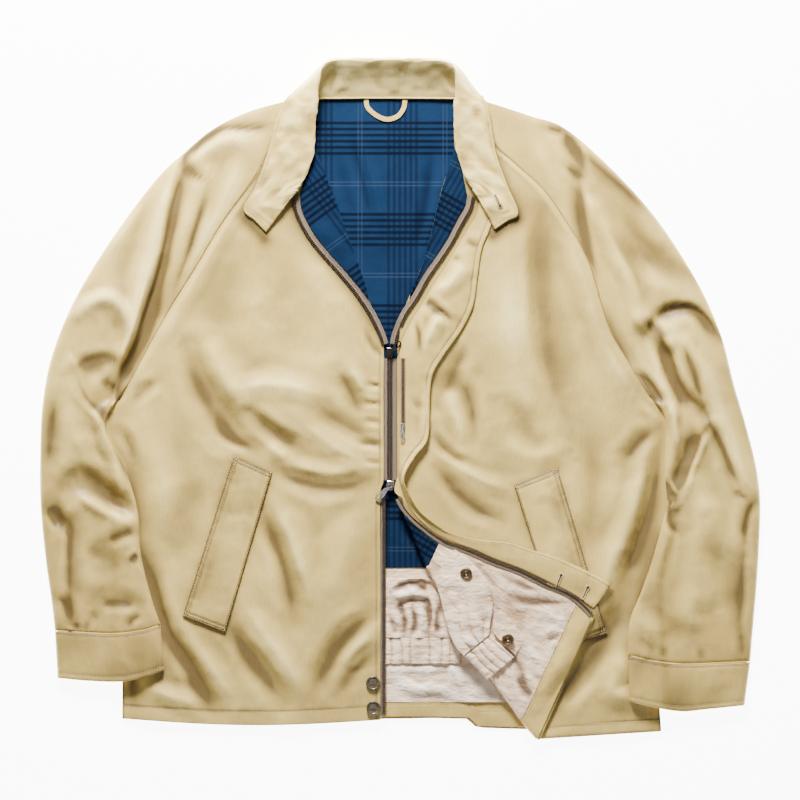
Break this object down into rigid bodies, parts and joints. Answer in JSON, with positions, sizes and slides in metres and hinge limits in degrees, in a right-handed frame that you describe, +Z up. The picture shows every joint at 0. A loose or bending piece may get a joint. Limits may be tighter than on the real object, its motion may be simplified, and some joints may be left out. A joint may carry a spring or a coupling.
{
  "type": "harrington jacket",
  "caption": "Short zip-front jacket with raglan sleeves and a small turn-down collar, laid flat on its back, part unzipped, one front corner folded back.",
  "frame": {"origin": "Centre of the whole garment's outline, on the surface it lies on.", "axes": "+X across the jacket towards its own left sleeve, which is on the right of someone looking down on it; +Y from the hem to the collar; +Z up, away from the surface, through the back and then the front."},
  "size_m": [0.8279, 0.785, 0.0281],
  "materials": {
    "shell_cotton": "satin-faced khaki cotton twill with a soft sheen",
    "check_lining": "matt woven cotton lining in blue with a navy and pale check",
    "nylon_lining": "smooth pale pinkish beige nylon",
    "zip_tape": "taupe woven tape with dark bronze metal teeth",
    "dark_metal": "gunmetal plating",
    "bright_metal": "bright nickel plating",
    "aged_brass": "antique brass",
    "button_resin": "dark olive-brown horn look"
  },
  "bodies": {
    "jacket": {"back": "shell_cotton", "back_hem_facing": "shell_cotton", "back_lining": "check_lining", "back_lower_lining": "nylon_lining", "button_lower": "button_resin", "button_upper": "button_resin", "collar": "shell_cotton", "corner_hem_facing": "shell_cotton", "corner_lower_lining": "nylon_lining", "corner_upper_lining": "check_lining", "cuff_left": "shell_cotton", "cuff_right": "shell_cotton", "front_left": "shell_cotton", "front_right": "shell_cotton", "guard_back": "nylon_lining", "guard_back_band": "nylon_lining", "guard_front": "nylon_lining", "guard_front_band": "nylon_lining", "guard_tab": "nylon_lining", "hanger_loop": "shell_cotton", "lapel_lining_left": "check_lining", "lapel_lining_right": "check_lining", "pocket_left": "shell_cotton", "pocket_right": "shell_cotton", "pocket_zip": "zip_tape", "sleeve_left": "shell_cotton", "sleeve_right": "shell_cotton", "slider_bottom": "bright_metal", "slider_pocket": "bright_metal", "slider_top": "dark_metal", "snap_lower": "aged_brass", "snap_upper": "aged_brass", "storm_flap": "shell_cotton", "zip_bottom_left": "zip_tape", "zip_bottom_right": "zip_tape", "zip_closed": "zip_tape", "zip_top_left": "zip_tape", "zip_top_right": "zip_tape"},
    "top_pull_tab": {"pull_top": "dark_metal"},
    "bottom_pull_tab": {"pull_bottom": "bright_metal"},
    "pocket_pull_tab": {"pull_pocket": "bright_metal"}
  },
  "joints": [
    {"name": "top_pull_tab_hinge", "type": "hinge", "parent": "jacket", "child": "top_pull_tab", "pos_m": [-0.012, 0.053, 0.0124], "axis": [0.7193, -0.6947, 0], "range_deg": [0, 150]},
    {"name": "bottom_pull_tab_hinge", "type": "hinge", "parent": "jacket", "child": "bottom_pull_tab", "pos_m": [-0.0115, -0.0996, 0.01251], "axis": [-0.7431, 0.6691, 0], "range_deg": [0, 150]},
    {"name": "pocket_pull_tab_hinge", "type": "hinge", "parent": "jacket", "child": "pocket_pull_tab", "pos_m": [0.003, -0.0315, 0.01472], "axis": [-0.9994, 0.0349, 0], "range_deg": [0, 150]}
  ]
}
